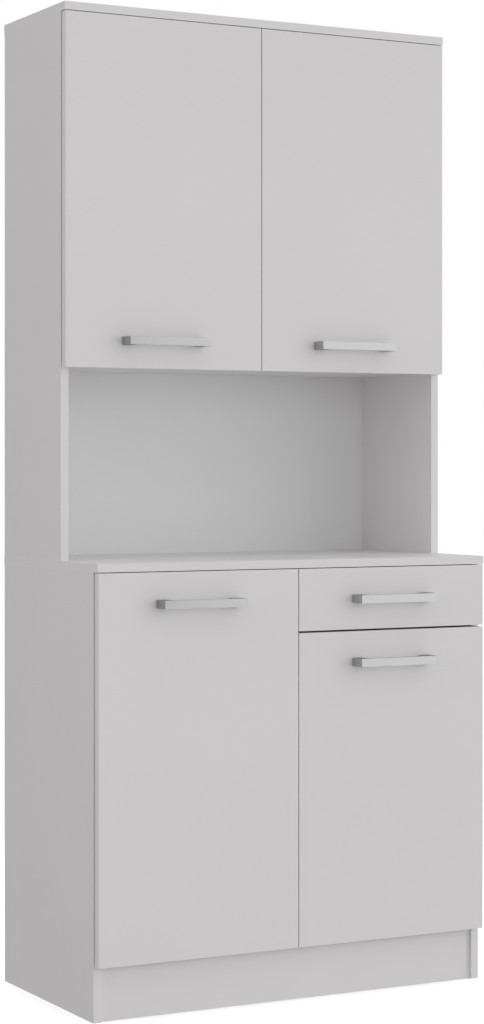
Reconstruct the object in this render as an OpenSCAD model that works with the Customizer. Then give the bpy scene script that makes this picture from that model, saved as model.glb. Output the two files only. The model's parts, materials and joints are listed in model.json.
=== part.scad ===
// Kitchen buffet cabinet in melamine-faced board. A lower cupboard holds two doors and a drawer.
// Its worktop is the floor of an open niche, and a shallower upper cupboard hangs over the niche.
// Millimetres, Z up. The fronts face -Y, X = 0 is the middle and the cabinet stands on Z = 0.
// Y = 0 is halfway between the wall and the faces of the lower handles.

/* [Cabinet] */
// Width over the side panels
body_w = 800; // [720:10:1000]
// Height from the floor to the top
body_h = 1800; // [1700:10:2100]
// Depth of the worktop, from the wall to its front edge
lower_d = 420; // [410:5:500]
// Depth of the top panel
upper_d = 280; // [260:5:340]
// Height of the worktop's upper face
worktop_h = 800; // [760:5:900]
// Height of the open niche, from the worktop to the upper cupboard
niche_h = 349; // [300:1:420]

/* [Boards] */
// Thickness of the melamine-faced boards
board_t = 15; // [15:0.5:18]
// Thickness of the back panels
back_t = 3; // [2.5:0.5:4]
// Height of the plinth
plinth_h = 100; // [80:5:140]
// How far the plinth stands back from the side panels' front edges
plinth_setback = 6; // [2:1:40]
// How far the back panels stay inside the cabinet's outline
back_inset = 1; // [0.5:0.5:3]
// How far the shelves stand back from the carcass's front edges
shelf_setback = 22; // [12:1:60]
// Play at each end of a shelf
shelf_play = 0.5; // [0.3:0.1:0.8]
// Height of the left shelf over the lower cupboard's floor
left_shelf_up = 320; // [260:5:420]
// Height of the right shelf over the lower cupboard's floor
right_shelf_up = 270; // [200:5:300]
// Height of the upper shelf over the upper cupboard's floor
upper_shelf_up = 300; // [200:5:380]

/* [Fronts] */
// Thickness of the doors and the drawer front
door_t = 15; // [15:0.5:18]
// Gap between the carcass's front edges and the fronts
door_gap = 3; // [3:0.5:4]
// How far the fronts stay inside the side panels' outer faces
reveal = 1.5; // [1:0.5:2]
// Gap between two fronts side by side
centre_gap = 2; // [1.5:0.5:5]
// Gap between the upper doors and the top panel
top_gap = 1.5; // [1:0.5:4]
// Gap between the lower fronts and the worktop
worktop_gap = 1.5; // [1:0.5:5]
// Gap between the drawer front and the door below it
drawer_gap = 3.5; // [3:0.5:6]
// Height of the drawer front
drawer_front_h = 113; // [108:1:140]
// How far the doors reach below the board that they hide
front_overhang = 2; // [1:0.5:4]

/* [Handles] */
// Length of a handle
handle_l = 164; // [130:2:220]
// Height of a handle's bar
handle_h = 15; // [12:0.5:20]
// How far a handle stands out from its front
handle_out = 33; // [28:1:40]
// Thickness of a handle's bar
handle_bar_t = 6; // [4:0.5:10]
// Width of a handle's legs
handle_leg_w = 20; // [14:1:26]
// Distance from an upper door's lower edge to its handle's middle
handle_rise = 49; // [30:1:90]
// Distance from a lower door's upper edge to its handle's middle
handle_drop = 56; // [30:1:90]
// How far the handles sit left of their fronts' middle
handle_shift = 5; // [0:1:12]
// Diameter of the handle screws
handle_screw_d = 4; // [3.5:0.5:5]
// Depth of a handle screw in its leg
handle_thread = 10; // [8:1:14]

/* [Hinges] */
// Diameter of a hinge cup
cup_d = 35; // [35:0.5:38]
// Depth of a hinge cup in its door
cup_depth = 11; // [11:0.25:12]
// Board left between the cup and the door's edge
cup_edge = 3; // [2.5:0.25:3]
// Wall of a hinge cup
cup_wall = 0.8; // [0.6:0.1:1]
// Thickness of the cup's flange on the door
cup_flange_t = 0.8; // [0.6:0.1:1]
// Distance from a door's upper or lower edge to the hinge's middle
hinge_in = 90; // [70:5:110]
// Diameter of the hinge pin
hinge_pin_d = 2; // [1.8:0.1:2.2]
// Width of the hinge arm
arm_w = 12; // [10:1:14]
// Length of the hinge arm, back from the carcass's front edge
arm_l = 56; // [54:1:70]
// Distance from the carcass's front edge to the mounting plate's screws
plate_in = 37; // [35:1:40]
// Distance between the mounting plate's screws
plate_pitch = 32; // [28:1:36]

/* [Drawer] */
// Thickness of the drawer box's sides and back
box_t = 12; // [12:0.5:14]
// Height of the drawer box
box_h = 85; // [72:1:88]
// Length of the drawer box
box_l = 350; // [350:5:365]
// Height of the drawer box over the lower edge of its front
box_up = 17; // [12:1:20]
// Thickness of the drawer's bottom
bottom_t = 3; // [2.5:0.5:4]
// Height of the drawer's bottom over the lower edges of the box
bottom_up = 8; // [6:0.5:12]
// Depth of the groove that holds the drawer's bottom
groove = 5; // [4:0.5:6]
// Space for a runner between the drawer box and the cabinet
runner_space = 12.5; // [12.5:0.1:13]
// Length of the rails and runners
rail_l = 350; // [300:5:360]
// Thickness of the rails' and runners' steel
rail_t = 1.2; // [1:0.1:1.3]
// Inner height of a rail's channel
rail_h = 24; // [23:0.5:26]
// Diameter of the rollers
roller_d = 20; // [18:0.5:20.5]

/* [Fasteners] */
// Distance from a board's front and rear edges to the cam fixings
fix_in = 50; // [40:1:60]
// Distance from a cam fixing to the dowel beside it
dowel_step = 32; // [25:1:40]
// Diameter of a cam
cam_d = 15; // [12:0.5:16]
// Distance from a board's edge to the cam's centre
cam_reach = 34; // [24:1:40]
// Diameter of a cam bolt's shank
bolt_d = 5; // [4:0.5:6]
// Depth of a cam bolt's thread
bolt_thread = 10; // [8:0.5:11]
// Diameter of the dowels
dowel_d = 8; // [6:0.5:9]
// Length of a dowel in a board's edge
dowel_l = 20; // [15:1:25]
// Depth of a dowel in a board's face
dowel_deep = 10; // [8:0.5:11]
// Diameter of the shelf pins
pin_d = 5; // [4:0.5:5]
// Depth of a shelf pin in a side panel
pin_deep = 7; // [5:0.25:7]
// How far a shelf pin stands out under its shelf
pin_out = 8; // [6:0.5:10]
// Largest distance between two nails of a back panel
nail_pitch = 130; // [80:5:180]
// Length of a nail
nail_l = 18; // [14:1:25]
// Distance from the cabinet's middle to a wall bracket
bracket_x = 250; // [150:5:300]
// Diameter of a wall bracket's hole for the wall screw
wall_hole_d = 5; // [4:0.5:7]

/* [Hidden] */
$fn = 40;
eps = 0.01;

// Colours as they show
melamine = [0.87, 0.87, 0.87];
hardboard = [0.83, 0.83, 0.82];
raw_wood = [0.80, 0.66, 0.46];
zinc = [0.68, 0.68, 0.70];
steel = [0.62, 0.63, 0.65];
white_steel = [0.90, 0.90, 0.90];
nylon = [0.93, 0.93, 0.91];
chrome = [0.78, 0.79, 0.80];
clear_rubber = [0.80, 0.80, 0.78];

// Clearance round a driven screw, bolt or nail, round a dowel or cam, and of a turning fit
tight = 0.03;
loose = 0.1;
running = 0.05;
// Space kept between two moving pieces
air = 0.3;

// Outline
half_w = body_w / 2;
inner_x = half_w - board_t;
edge_x = half_w - board_t / 2;
wall_y = (lower_d + handle_out) / 2;
back_y = wall_y - back_t;
lower_y = wall_y - lower_d + door_t + door_gap;
upper_y = wall_y - upper_d + door_t + door_gap;

// Levels
worktop_z = worktop_h - board_t;
floor_z = plinth_h + board_t;
upper_bottom_z = worktop_h + niche_h;
upper_floor_z = upper_bottom_z + board_t;
top_z = body_h - board_t;
left_shelf_z = floor_z + left_shelf_up;
right_shelf_z = floor_z + right_shelf_up;
upper_shelf_z = upper_floor_z + upper_shelf_up;

// Fronts
door_w = (body_w - 2 * reveal - centre_gap) / 2;
front_x = (door_w + centre_gap) / 2;
upper_door_z = upper_bottom_z - front_overhang;
upper_door_top = top_z - top_gap;
lower_door_z = plinth_h - front_overhang;
left_door_top = worktop_z - worktop_gap;
drawer_z = left_door_top - drawer_front_h;
right_door_top = drawer_z - drawer_gap;

// Hinges: the pin sits in the cup, clear of its wall and floor
eye_r = hinge_pin_d / 2 + 1;
eye_w = 5;
eye_room = 0.7;
pin_from_edge = cup_edge + cup_wall + eye_r + eye_room;
pin_from_back = cup_depth - cup_wall - eye_r - eye_room - 0.5;
hinge_x = reveal + pin_from_edge - board_t;
hinge_y = -door_gap - pin_from_back;
cup_x = reveal + cup_edge + cup_d / 2 - board_t;
ear_x = 9.5;
ear_z = 24;
ear_d = 8;
ear_l = 10;
ear_margin = 5;
flange_rim = 1;
neck_t = 2.4;
neck_room = 1.4;
neck_side_room = 1;
neck_x = max(neck_side_room, hinge_x + pin_from_back + cup_flange_t + neck_room);
run_low = 0.3;
run_high = eye_r + 0.6;
lug_r = 2.4;
lug_w = 5.2;
plate_t = 3.5;
plate_l = 34;
plate_w = 12;
wing_t = 2;
wing_l = 12;
wing_margin = 6;
arm_h = 6;
arm_start = 1;
arm_foot = 7;
plate_screw_d = 3.8;
plate_screw_l = 11;
plate_head_d = 7;
plate_head_h = 1.6;
upper_hinge_z = [upper_door_z + hinge_in, upper_door_top - hinge_in];
left_hinge_z = [lower_door_z + hinge_in, left_door_top - hinge_in];
right_hinge_z = [lower_door_z + hinge_in, right_door_top - hinge_in];

// Drawer
box_x = [board_t / 2 + runner_space, inner_x - runner_space];
box_y = [lower_y - door_gap, lower_y - door_gap + box_l];
box_z = [drawer_z + box_up, drawer_z + box_up + box_h];
bottom_z = box_z[0] + bottom_up;
bottom_play = 0.2;
rail_z = box_z[0] + rail_h / 2 + rail_t + 0.8;
rail_in = 2;
rail_flange = 9;
roller_in = 14;
runner_flange_z = rail_z + roller_d / 2 + air;
axle_r = 2;
axle_head_r = 3;
axle_head_t = 0.8;
roller_w = 7.2;
front_roller_y = lower_y + rail_in + roller_in;
rear_roller_y = lower_y + rail_l - roller_in;
rear_roller_z = rail_z - rail_h / 2 + roller_d / 2 + air;
rail_screw_in = 50;
runner_screw_in = 60;
rail_screw_y = [lower_y + rail_screw_in, lower_y + rail_l - rail_screw_in];
runner_screw_y = [lower_y + runner_screw_in, lower_y + rail_l - 2 * runner_screw_in];
small_screw_d = 3;
small_head_d = 6.5;
small_head_t = 0.9;
rail_screw_l = 12;
runner_screw_l = 9;
box_screw_d = 3.5;
box_screw_l = 35;
box_head_d = 6.5;
box_head_t = 2;
box_fix_z = [box_z[0] + 0.4 * box_h, box_z[0] + 0.8 * box_h];
box_dowel_d = 6;
box_dowel_front = 9;
box_dowel_back = 18;

// Fasteners
cam_h = 12;
cam_slot = 7.4;
bolt_head_d = 6.6;
bolt_head_t = 3;
bolt_way_d = 7;
cross_w = 1.2;
cross_l = 7;
cross_deep = 1.5;
lower_cam_y = [lower_y + fix_in, back_y - fix_in];
upper_cam_y = [upper_y + fix_in, back_y - fix_in];
lower_dowel_y = [lower_cam_y[0] + dowel_step, lower_cam_y[1] - dowel_step];
upper_dowel_y = [upper_cam_y[0] + dowel_step, upper_cam_y[1] - dowel_step];
plinth_y = lower_y + plinth_setback;
plinth_dowel_z = [0.3 * plinth_h, 0.7 * plinth_h];
pin_in = 60;
lower_pin_y = [lower_y + pin_in, back_y - pin_in];
upper_pin_y = [upper_y + pin_in, back_y - pin_in];
nail_d = 1.4;
nail_head_d = 3.6;
nail_head_t = 0.5;
nail_end = 30;
bumper_d = 6;
bumper_t = door_gap - air;
bumper_in = 60;
bracket_w = 20;
bracket_l = 40;
bracket_t = 2;
bracket_hole = 25;
bracket_screw_d = 3.5;
bracket_screw_l = 12;
bracket_head_d = 7;
bracket_head_t = 2;
handle_hole_x = (handle_l - handle_leg_w) / 2;
handle_head_d = 8;
handle_head_t = 2.4;
handle_hole_d = handle_screw_d + 1;

// A box between two values on each axis
module block(x, y, z) {
  translate([x[0], y[0], z[0]]) cube([x[1] - x[0], y[1] - y[0], z[1] - z[0]]);
}

// The same pieces on the right and, mirrored, on the left
module both_sides() {
  children();
  mirror([1, 0, 0]) children();
}

// A rod along each axis, from a point and over a length
module rod_x(at, d, l) {
  translate(at) rotate([0, 90, 0]) cylinder(d = d, h = l);
}

module rod_y(at, d, l) {
  translate(at) rotate([-90, 0, 0]) cylinder(d = d, h = l);
}

module rod_z(at, d, l) {
  translate(at) cylinder(d = d, h = l);
}

// A fixing's own frame: +Z runs from the board whose face is met into the edge of the other board.
// The cam opens towards -X there.
module cam_lock() {
  difference() {
    rod_x([-board_t / 2, 0, cam_reach], cam_d, cam_h);
    block([-bolt_way_d / 2, board_t], [-cam_slot / 2, cam_slot / 2],
          [cam_reach - cam_d, cam_reach + bolt_head_t / 2]);
    for (turn = [0, 90])
      translate([-board_t / 2, 0, cam_reach]) rotate([turn, 0, 0])
        block([-eps, cross_deep], [-cross_w / 2, cross_w / 2], [-cross_l / 2, cross_l / 2]);
  }
}

module cam_bolt() {
  rod_z([0, 0, -bolt_thread], bolt_d, bolt_thread + cam_reach - bolt_head_t);
  rod_z([0, 0, cam_reach - bolt_head_t], bolt_head_d, bolt_head_t);
}

module cam_holes() {
  rod_x([-board_t / 2 - eps, 0, cam_reach], cam_d + 2 * loose, cam_h + loose + eps);
  rod_z([0, 0, -eps], bolt_way_d, cam_reach);
  rod_z([0, 0, -bolt_thread - loose], bolt_d + 2 * tight, bolt_thread + 2 * loose);
}

module dowel() {
  rod_z([0, 0, -dowel_deep], dowel_d, dowel_deep + dowel_l);
}

module dowel_hole() {
  rod_z([0, 0, -dowel_deep - loose], dowel_d + 2 * tight, dowel_deep + dowel_l + 2 * loose);
}

// Places of the fixings. A board between the sides is met from the right side's inner face,
// and a board that lies on the sides is met from its underside.
module at_side_joint(ys, z) {
  both_sides() for (y = ys) translate([inner_x, y, z]) rotate([0, -90, 0]) children();
}

module at_side_joint_turned(ys, z) {
  both_sides() for (y = ys) translate([inner_x, y, z]) rotate([0, -90, 0]) rotate([0, 0, 180]) children();
}

module at_lid_joint(ys, z) {
  both_sides() for (y = ys) translate([edge_x, y, z]) rotate([180, 0, 0]) children();
}

module at_divider_top() {
  for (y = lower_cam_y) translate([0, y, worktop_z]) rotate([180, 0, 0]) children();
}

module at_divider_foot() {
  for (y = lower_cam_y) translate([0, y, floor_z]) children();
}

module at_lower_cams() {
  at_side_joint(lower_cam_y, plinth_h + board_t / 2) children();
  at_lid_joint(lower_cam_y, worktop_z) children();
  at_divider_top() children();
  at_divider_foot() children();
}

module at_upper_cams() {
  at_side_joint_turned(upper_cam_y, upper_bottom_z + board_t / 2) children();
  at_lid_joint(upper_cam_y, top_z) children();
}

module at_lower_dowels() {
  at_side_joint(lower_dowel_y, plinth_h + board_t / 2) children();
  at_lid_joint([lower_dowel_y[0]], worktop_z) children();
  for (y = lower_dowel_y) {
    translate([0, y, worktop_z]) rotate([180, 0, 0]) children();
    translate([0, y, floor_z]) children();
  }
  for (z = plinth_dowel_z)
    both_sides() translate([inner_x, plinth_y + board_t / 2, z]) rotate([0, -90, 0]) children();
}

module at_upper_dowels() {
  at_side_joint(upper_dowel_y, upper_bottom_z + board_t / 2) children();
  at_lid_joint(upper_dowel_y, top_z) children();
}

// Dowels that run through the worktop, from a lower side panel into an upper one
module through_dowels(d, slack) {
  both_sides() for (y = upper_dowel_y)
    rod_z([edge_x, y, worktop_z - dowel_l - slack], d, board_t + 2 * dowel_l + 2 * slack);
}

module lower_holes() {
  at_lower_cams() cam_holes();
  at_lower_dowels() dowel_hole();
  through_dowels(dowel_d + 2 * tight, loose);
}

module upper_holes() {
  at_upper_cams() cam_holes();
  at_upper_dowels() dowel_hole();
  through_dowels(dowel_d + 2 * tight, loose);
}

// Nails of the back panels: rows between two points, evenly spaced
function spaced(from, to) =
  let (gaps = max(1, ceil((to - from) / nail_pitch)))
    [for (i = [0:gaps]) from + (to - from) * i / gaps];

lower_nails = concat(
  [for (s = [-1, 1], z = spaced(floor_z + nail_end, worktop_z - nail_end)) [s * edge_x, z]],
  [for (x = spaced(-inner_x + nail_end, inner_x - nail_end)) [x, plinth_h + board_t / 2]],
  [for (z = spaced(floor_z + nail_end, worktop_z - nail_end)) [0, z]]);
upper_nails = concat(
  [for (s = [-1, 1], z = spaced(worktop_h + nail_end, upper_bottom_z - nail_end)) [s * edge_x, z]],
  [for (s = [-1, 1], z = spaced(upper_floor_z + nail_end, top_z - nail_end)) [s * edge_x, z]],
  [for (x = spaced(-inner_x + nail_end, inner_x - nail_end)) [x, upper_bottom_z + board_t / 2]]);

module nails(points, slack) {
  for (p = points) {
    rod_y([p[0], wall_y - nail_l, p[1]], nail_d + 2 * slack, nail_l - nail_head_t + eps);
    rod_y([p[0], wall_y - nail_head_t - slack, p[1]], nail_head_d + 2 * slack, nail_head_t + slack);
  }
}

// Shelf pins: a pair on each side of a shelf, under its lower face
module shelf_pin_pair(x, ys, z, slack) {
  for (y = ys)
    rod_x([x - pin_deep - slack, y, z - pin_d / 2], pin_d + 2 * slack, pin_deep + pin_out + slack);
}

module all_pins(slack) {
  mirror([1, 0, 0]) {
    shelf_pin_pair(-inner_x, upper_pin_y, upper_shelf_z, slack);
    shelf_pin_pair(board_t / 2, lower_pin_y, left_shelf_z, slack);
    shelf_pin_pair(-inner_x, lower_pin_y, right_shelf_z, slack);
  }
  shelf_pin_pair(-inner_x, upper_pin_y, upper_shelf_z, slack);
  shelf_pin_pair(-inner_x, lower_pin_y, left_shelf_z, slack);
  shelf_pin_pair(board_t / 2, lower_pin_y, right_shelf_z, slack);
}

// Hinges are drawn for the left side panel, from its inner front corner, and mirrored for the right.
module at_left_hinges(y, zs) {
  for (z = zs) translate([-inner_x, y, z]) children();
}

module at_right_hinges(y, zs) {
  mirror([1, 0, 0]) at_left_hinges(y, zs) children();
}

module at_all_hinges() {
  at_left_hinges(upper_y, upper_hinge_z) children();
  at_right_hinges(upper_y, upper_hinge_z) children();
  at_left_hinges(lower_y, left_hinge_z) children();
  at_right_hinges(lower_y, right_hinge_z) children();
}

module plate() {
  difference() {
    union() {
      block([0, plate_t], [plate_in - plate_l / 2, plate_in + plate_l / 2], [-plate_w / 2, plate_w / 2]);
      block([0, wing_t], [plate_in - wing_l / 2, plate_in + wing_l / 2],
            [-plate_pitch / 2 - wing_margin, plate_pitch / 2 + wing_margin]);
    }
    plate_screw_pair(tight);
  }
}

module plate_screw_pair(slack) {
  for (s = [-1, 1]) {
    rod_x([-plate_screw_l - slack, plate_in, s * plate_pitch / 2],
          plate_screw_d + 2 * slack, plate_screw_l + wing_t + slack);
    if (slack == 0)
      rod_x([wing_t, plate_in, s * plate_pitch / 2], plate_head_d, plate_head_h);
  }
}

// The eye round the pin with the run that leaves the cup, and the neck that the run rises to
module eye_outline() {
  translate([hinge_x, hinge_y]) circle(r = eye_r);
  translate([hinge_x, hinge_y - run_high])
    square([neck_x + neck_t - hinge_x, run_high - run_low]);
}

module neck_outline() {
  translate([neck_x, hinge_y - run_high]) square([neck_t, run_high + arm_start + arm_foot - hinge_y]);
}

module arm() {
  difference() {
    union() {
      linear_extrude(eye_w, center = true) eye_outline();
      linear_extrude(arm_w, center = true) neck_outline();
      block([min(neck_x, plate_t), plate_t + arm_h], [arm_start, arm_start + arm_foot],
            [-arm_w / 2, arm_w / 2]);
      block([plate_t, plate_t + arm_h], [arm_start, arm_l], [-arm_w / 2, arm_w / 2]);
    }
    rod_z([hinge_x, hinge_y, -eye_w], hinge_pin_d + 2 * tight, 2 * eye_w);
    block([plate_t + arm_h / 2, plate_t + 2 * arm_h], [arm_foot + arm_w, arm_l - arm_w],
          [-arm_w / 4, arm_w / 4]);
  }
}

module hinge_pin() {
  rod_z([hinge_x, hinge_y, -eye_w / 2 - lug_w + running], hinge_pin_d, eye_w + 2 * lug_w - 2 * running);
}

module cup() {
  mouth_y = -door_gap;
  difference() {
    union() {
      difference() {
        union() {
          rod_y([cup_x, mouth_y - cup_depth, 0], cup_d, cup_depth);
          rod_y([cup_x, mouth_y, 0], cup_d + 2 * flange_rim, cup_flange_t);
          block([cup_x, cup_x + ear_x + ear_margin], [mouth_y, mouth_y + cup_flange_t],
                [-ear_z - ear_margin, ear_z + ear_margin]);
          for (s = [-1, 1]) rod_y([cup_x + ear_x, mouth_y - ear_l, s * ear_z], ear_d, ear_l);
        }
        rod_y([cup_x, mouth_y - cup_depth + cup_wall, 0], cup_d - 2 * cup_wall, cup_depth + door_gap);
      }
      intersection() {
        rod_y([cup_x, mouth_y - cup_depth + cup_wall / 2, 0], cup_d - cup_wall, cup_depth);
        for (s = [-1, 1])
          translate([0, 0, s * (eye_w / 2 + air + lug_w / 2)])
            block([cup_x - cup_d / 2, hinge_x + lug_r], [mouth_y - cup_depth, hinge_y + lug_r],
                  [-lug_w / 2, lug_w / 2]);
      }
    }
    rod_z([hinge_x, hinge_y, -cup_d / 4 - lug_w / 4], hinge_pin_d + 2 * running, cup_d / 2 + lug_w / 2);
  }
}

module cup_holes() {
  rod_y([cup_x, -door_gap - cup_depth - tight, 0], cup_d + 2 * tight, cup_depth + 1);
  for (s = [-1, 1])
    rod_y([cup_x + ear_x, -door_gap - ear_l - tight, s * ear_z], ear_d + 2 * tight, ear_l + 1);
}

// A bar handle on a front's face, drawn round its own middle, with its two screws
module handle() {
  difference() {
    union() {
      block([-handle_l / 2, handle_l / 2], [-handle_out, handle_bar_t - handle_out],
            [-handle_h / 2, handle_h / 2]);
      for (s = [-1, 1])
        translate([s * handle_hole_x, 0, 0])
          block([-handle_leg_w / 2, handle_leg_w / 2], [-handle_out, 0], [-handle_h / 2, handle_h / 2]);
    }
    for (s = [-1, 1])
      rod_y([s * handle_hole_x, -handle_thread - loose, 0], handle_screw_d + 2 * tight, handle_thread + 1);
  }
}

module handle_screw_pair() {
  for (s = [-1, 1]) {
    rod_y([s * handle_hole_x, -handle_thread, 0], handle_screw_d, handle_thread + door_t + eps);
    rod_y([s * handle_hole_x, door_t, 0], handle_head_d, handle_head_t);
  }
}

module handle_holes() {
  for (s = [-1, 1]) rod_y([s * handle_hole_x, -1, 0], handle_hole_d, door_t + 2);
}

// Places of the handles: side is -1 on the left and 1 on the right
module at_upper_handle(side) {
  translate([side * front_x - handle_shift, wall_y - upper_d, upper_door_z + handle_rise]) children();
}

module at_lower_handle(side, top) {
  translate([side * front_x - handle_shift, wall_y - lower_d, top - handle_drop]) children();
}

module at_drawer_handle() {
  translate([front_x - handle_shift, wall_y - lower_d, drawer_z + drawer_front_h / 2]) children();
}

module front_board(side, y, z) {
  translate([side * front_x, 0, 0]) block([-door_w / 2, door_w / 2], [y, y + door_t], z);
}

// Rails and runners are drawn from the face that the rail is screwed to, and mirrored for the right.
module rail_at_left() {
  translate([board_t / 2, 0, 0]) children();
}

module rail_at_right() {
  mirror([1, 0, 0]) translate([-inner_x, 0, 0]) children();
}

module rail() {
  y = [lower_y + rail_in, lower_y + rail_in + rail_l];
  difference() {
    union() {
      block([0, rail_t], y, [rail_z - rail_h / 2 - rail_t, rail_z + rail_h / 2 + rail_t]);
      for (z = [-rail_h / 2 - rail_t, rail_h / 2])
        block([0, rail_flange], y, [rail_z + z, rail_z + z + rail_t]);
      rod_x([0, front_roller_y, rail_z], 2 * axle_r, rail_t + roller_w + 2 * air + axle_head_t);
      rod_x([rail_t + roller_w + 2 * air, front_roller_y, rail_z], 2 * axle_head_r, axle_head_t);
    }
    rail_screw_pair(tight);
  }
}

module rail_screw_pair(slack) {
  for (y = rail_screw_y) {
    rod_x([-rail_screw_l - slack, y, rail_z], small_screw_d + 2 * slack, rail_screw_l + rail_t + slack);
    if (slack == 0) rod_x([rail_t, y, rail_z], small_head_d, small_head_t);
  }
}

module rail_screw_holes() {
  rail_screw_pair(tight);
}

module roller(x, y, z) {
  difference() {
    rod_x([x, y, z], roller_d, roller_w);
    rod_x([x - 1, y, z], 2 * (axle_r + running), roller_w + 2);
  }
}

module runner() {
  face = runner_space - rail_t;
  y = [lower_y, lower_y + rail_l];
  head_x = face - roller_w - 2 * air - axle_head_t;
  difference() {
    union() {
      block([face, runner_space], y, [box_z[0] - rail_t, runner_flange_z + rail_t]);
      block([rail_t + 1, runner_space], y, [runner_flange_z, runner_flange_z + rail_t]);
      block([face, runner_space + box_t], y, [box_z[0] - rail_t, box_z[0]]);
      rod_x([head_x, rear_roller_y, rear_roller_z], 2 * axle_r, face - head_x + eps);
      rod_x([head_x, rear_roller_y, rear_roller_z], 2 * axle_head_r, axle_head_t);
    }
    runner_screw_pair(tight);
  }
}

module runner_screw_pair(slack) {
  face = runner_space - rail_t;
  for (y = runner_screw_y) {
    rod_x([face - eps, y, rail_z], small_screw_d + 2 * slack, rail_t + runner_screw_l + slack);
    if (slack == 0) rod_x([face - small_head_t, y, rail_z], small_head_d, small_head_t);
  }
}

// Dowels at the front of the drawer box and screws at its rear corners
module box_dowel_set(slack) {
  for (x = [box_x[0] + box_t / 2, box_x[1] - box_t / 2], z = box_fix_z)
    rod_y([x, box_y[0] - box_dowel_front - slack, z],
          box_dowel_d + 2 * slack, box_dowel_front + box_dowel_back + 2 * slack);
}

module box_screw_set(slack) {
  y = box_y[1] - box_t / 2;
  for (z = box_fix_z) {
    rod_x([box_x[0], y, z], box_screw_d + 2 * slack, box_screw_l + slack);
    rod_x([box_x[0], y, z], box_head_d + 2 * slack, box_head_t + slack);
    rod_x([box_x[1] - box_screw_l - slack, y, z], box_screw_d + 2 * slack, box_screw_l + slack);
    rod_x([box_x[1] - box_head_t - slack, y, z], box_head_d + 2 * slack, box_head_t + slack);
  }
}

module bottom_slot() {
  block([box_x[0] + box_t - groove, box_x[1] - box_t + groove], [box_y[0] - groove, box_y[1] + 1],
        [bottom_z - bottom_play / 2, bottom_z + bottom_t + bottom_play / 2]);
}

module wall_holes() {
  for (s = [-1, 1])
    rod_y([s * bracket_x, back_y - 2 * bracket_t, top_z - bracket_hole], wall_hole_d, back_t + 4 * bracket_t);
}

module bracket_screw_set(slack) {
  for (s = [-1, 1]) {
    x = s * bracket_x;
    y = back_y - bracket_hole;
    rod_z([x, y, top_z - bracket_t - eps], bracket_screw_d + 2 * slack, bracket_t + bracket_screw_l + slack);
    if (slack == 0)
      rod_z([x, y, top_z - bracket_t - bracket_head_t], bracket_head_d, bracket_head_t);
  }
}

module lower_side(mirrored) {
  difference() {
    mirror([mirrored ? 1 : 0, 0, 0]) block([inner_x, half_w], [lower_y, back_y], [0, worktop_z]);
    lower_holes();
    nails(lower_nails, tight);
    all_pins(tight);
    at_left_hinges(lower_y, left_hinge_z) plate_screw_pair(tight);
    at_right_hinges(lower_y, right_hinge_z) plate_screw_pair(tight);
    rail_at_right() rail_screw_holes();
  }
}

module lower_left_side() {
  color(melamine) lower_side(true);
}

module lower_right_side() {
  color(melamine) lower_side(false);
}

module lower_bottom() {
  color(melamine) difference() {
    block([-inner_x, inner_x], [lower_y, back_y], [plinth_h, floor_z]);
    lower_holes();
    nails(lower_nails, tight);
  }
}

module lower_divider() {
  color(melamine) difference() {
    block([-board_t / 2, board_t / 2], [lower_y, back_y], [floor_z, worktop_z]);
    at_divider_top() cam_holes();
    at_divider_foot() cam_holes();
    at_lower_dowels() dowel_hole();
    nails(lower_nails, tight);
    all_pins(tight);
    rail_at_left() rail_screw_holes();
  }
}

module plinth() {
  color(melamine) difference() {
    block([-inner_x, inner_x], [plinth_y, plinth_y + board_t], [0, plinth_h]);
    at_lower_dowels() dowel_hole();
  }
}

module worktop() {
  color(melamine) difference() {
    block([-half_w, half_w], [wall_y - lower_d, wall_y], [worktop_z, worktop_h]);
    lower_holes();
  }
}

module lower_back() {
  color(hardboard) difference() {
    block([back_inset - half_w, half_w - back_inset], [back_y, wall_y], [plinth_h, worktop_z]);
    nails(lower_nails, tight);
  }
}

module shelf(x, y, z) {
  color(melamine)
    block([x[0] + shelf_play, x[1] - shelf_play], [y + shelf_setback, back_y], [z, z + board_t]);
}

module lower_left_shelf() {
  shelf([-inner_x, -board_t / 2], lower_y, left_shelf_z);
}

module lower_right_shelf() {
  shelf([board_t / 2, inner_x], lower_y, right_shelf_z);
}

module upper_side(mirrored) {
  difference() {
    mirror([mirrored ? 1 : 0, 0, 0]) block([inner_x, half_w], [upper_y, back_y], [worktop_h, top_z]);
    upper_holes();
    nails(upper_nails, tight);
    all_pins(tight);
    at_left_hinges(upper_y, upper_hinge_z) plate_screw_pair(tight);
    at_right_hinges(upper_y, upper_hinge_z) plate_screw_pair(tight);
  }
}

module upper_left_side() {
  color(melamine) upper_side(true);
}

module upper_right_side() {
  color(melamine) upper_side(false);
}

module upper_bottom() {
  color(melamine) difference() {
    block([-inner_x, inner_x], [upper_y, back_y], [upper_bottom_z, upper_floor_z]);
    upper_holes();
    nails(upper_nails, tight);
  }
}

module top_panel() {
  color(melamine) difference() {
    block([-half_w, half_w], [wall_y - upper_d, wall_y], [top_z, body_h]);
    at_upper_cams() cam_holes();
    at_upper_dowels() dowel_hole();
    bracket_screw_set(tight);
  }
}

module upper_back() {
  color(hardboard) difference() {
    block([back_inset - half_w, half_w - back_inset], [back_y, wall_y], [worktop_h, top_z]);
    nails(upper_nails, tight);
    wall_holes();
  }
}

module upper_shelf() {
  shelf([-inner_x, inner_x], upper_y, upper_shelf_z);
}

module cam_locks() {
  color(zinc) {
    at_lower_cams() cam_lock();
    at_upper_cams() cam_lock();
  }
}

module cam_bolts() {
  color(steel) {
    at_lower_cams() cam_bolt();
    at_upper_cams() cam_bolt();
  }
}

module dowels() {
  color(raw_wood) {
    at_lower_dowels() dowel();
    at_upper_dowels() dowel();
    through_dowels(dowel_d, 0);
  }
}

module back_nails() {
  color(steel) {
    nails(lower_nails, 0);
    nails(upper_nails, 0);
  }
}

module shelf_pins() {
  color(nylon) all_pins(0);
}

module hinge_plates() {
  color(steel) at_all_hinges() plate();
}

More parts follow.
